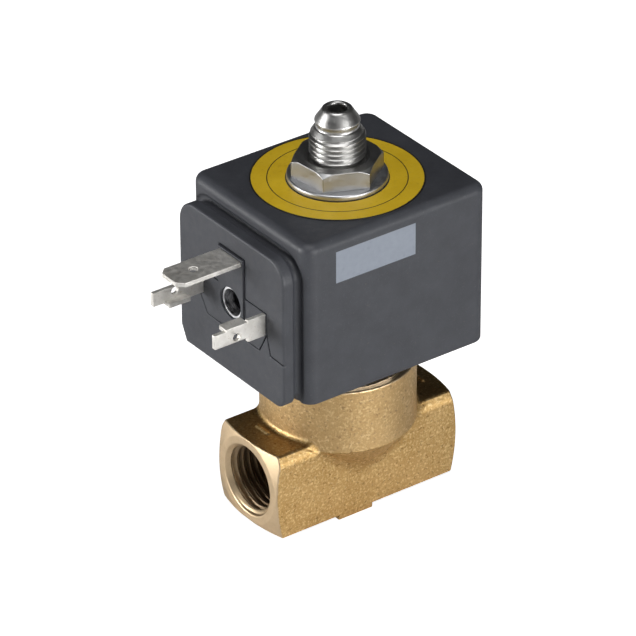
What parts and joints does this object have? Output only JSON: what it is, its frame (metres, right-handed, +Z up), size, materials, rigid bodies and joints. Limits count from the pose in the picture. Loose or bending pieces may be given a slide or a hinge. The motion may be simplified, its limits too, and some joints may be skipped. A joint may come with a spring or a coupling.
{
  "type": "solenoid valve",
  "caption": "Three-way solenoid valve: forged brass body with threaded side ports, encapsulated coil with plug connector, and a threaded exhaust fitting on top.",
  "frame": {"origin": "centre of the armature tube's axis at the underside of the body's pad", "axes": "+Z up along the armature tube, -X towards the inlet port and the plug connector, -Y towards the coil's plain printed side"},
  "size_m": [0.0545, 0.0336, 0.076],
  "materials": {
    "forged_brass": "forged, sandblasted, machined at the ports",
    "stainless": "turned",
    "core_iron": "ground magnetic stainless",
    "spring_steel": "drawn wire",
    "copper": "bare or enamelled copper",
    "seal_rubber": "moulded",
    "coil_plastic": "fine matt moulding",
    "bobbin_plastic": "glass-filled nylon",
    "tinned_brass": "stamped and tinned",
    "yoke_steel": "galvanised strip",
    "label_yellow": "satin printed film, left blank"
  },
  "bodies": {
    "valve": {"valve_body": "forged_brass", "orifice_seat": "stainless", "tube_seal": "seal_rubber", "armature_tube": "stainless", "tube_nut": "stainless", "fixed_core": "core_iron", "shading_ring": "copper", "return_spring": "spring_steel", "coil_washer": "stainless", "coil_nut": "stainless"},
    "armature": {"armature": "core_iron", "lower_seal": "seal_rubber", "upper_seal": "seal_rubber"},
    "coil": {"coil_housing": "coil_plastic", "terminal_carrier": "coil_plastic", "earth_terminal": "tinned_brass", "line_terminal_left": "tinned_brass", "line_terminal_right": "tinned_brass", "screw_insert": "tinned_brass", "lead_wires": "copper", "ring_label": "label_yellow", "bobbin": "bobbin_plastic", "winding": "copper", "yoke_frame": "yoke_steel", "lower_sleeve": "core_iron", "upper_sleeve": "core_iron", "lower_coil_seal": "seal_rubber", "upper_coil_seal": "seal_rubber"}
  },
  "joints": [
    {"name": "armature_stroke", "type": "slide", "parent": "valve", "child": "armature", "axis": [0, 0, 1], "range_m": [0, 0.0009], "stiffness_N_per_m": 400, "springref_m": -0.006, "deforming": ["return_spring"]},
    {"name": "coil_swivel", "type": "hinge", "parent": "valve", "child": "coil", "pos_m": [0, 0, 0.04695], "axis": [0, 0, 1], "continuous": true}
  ]
}
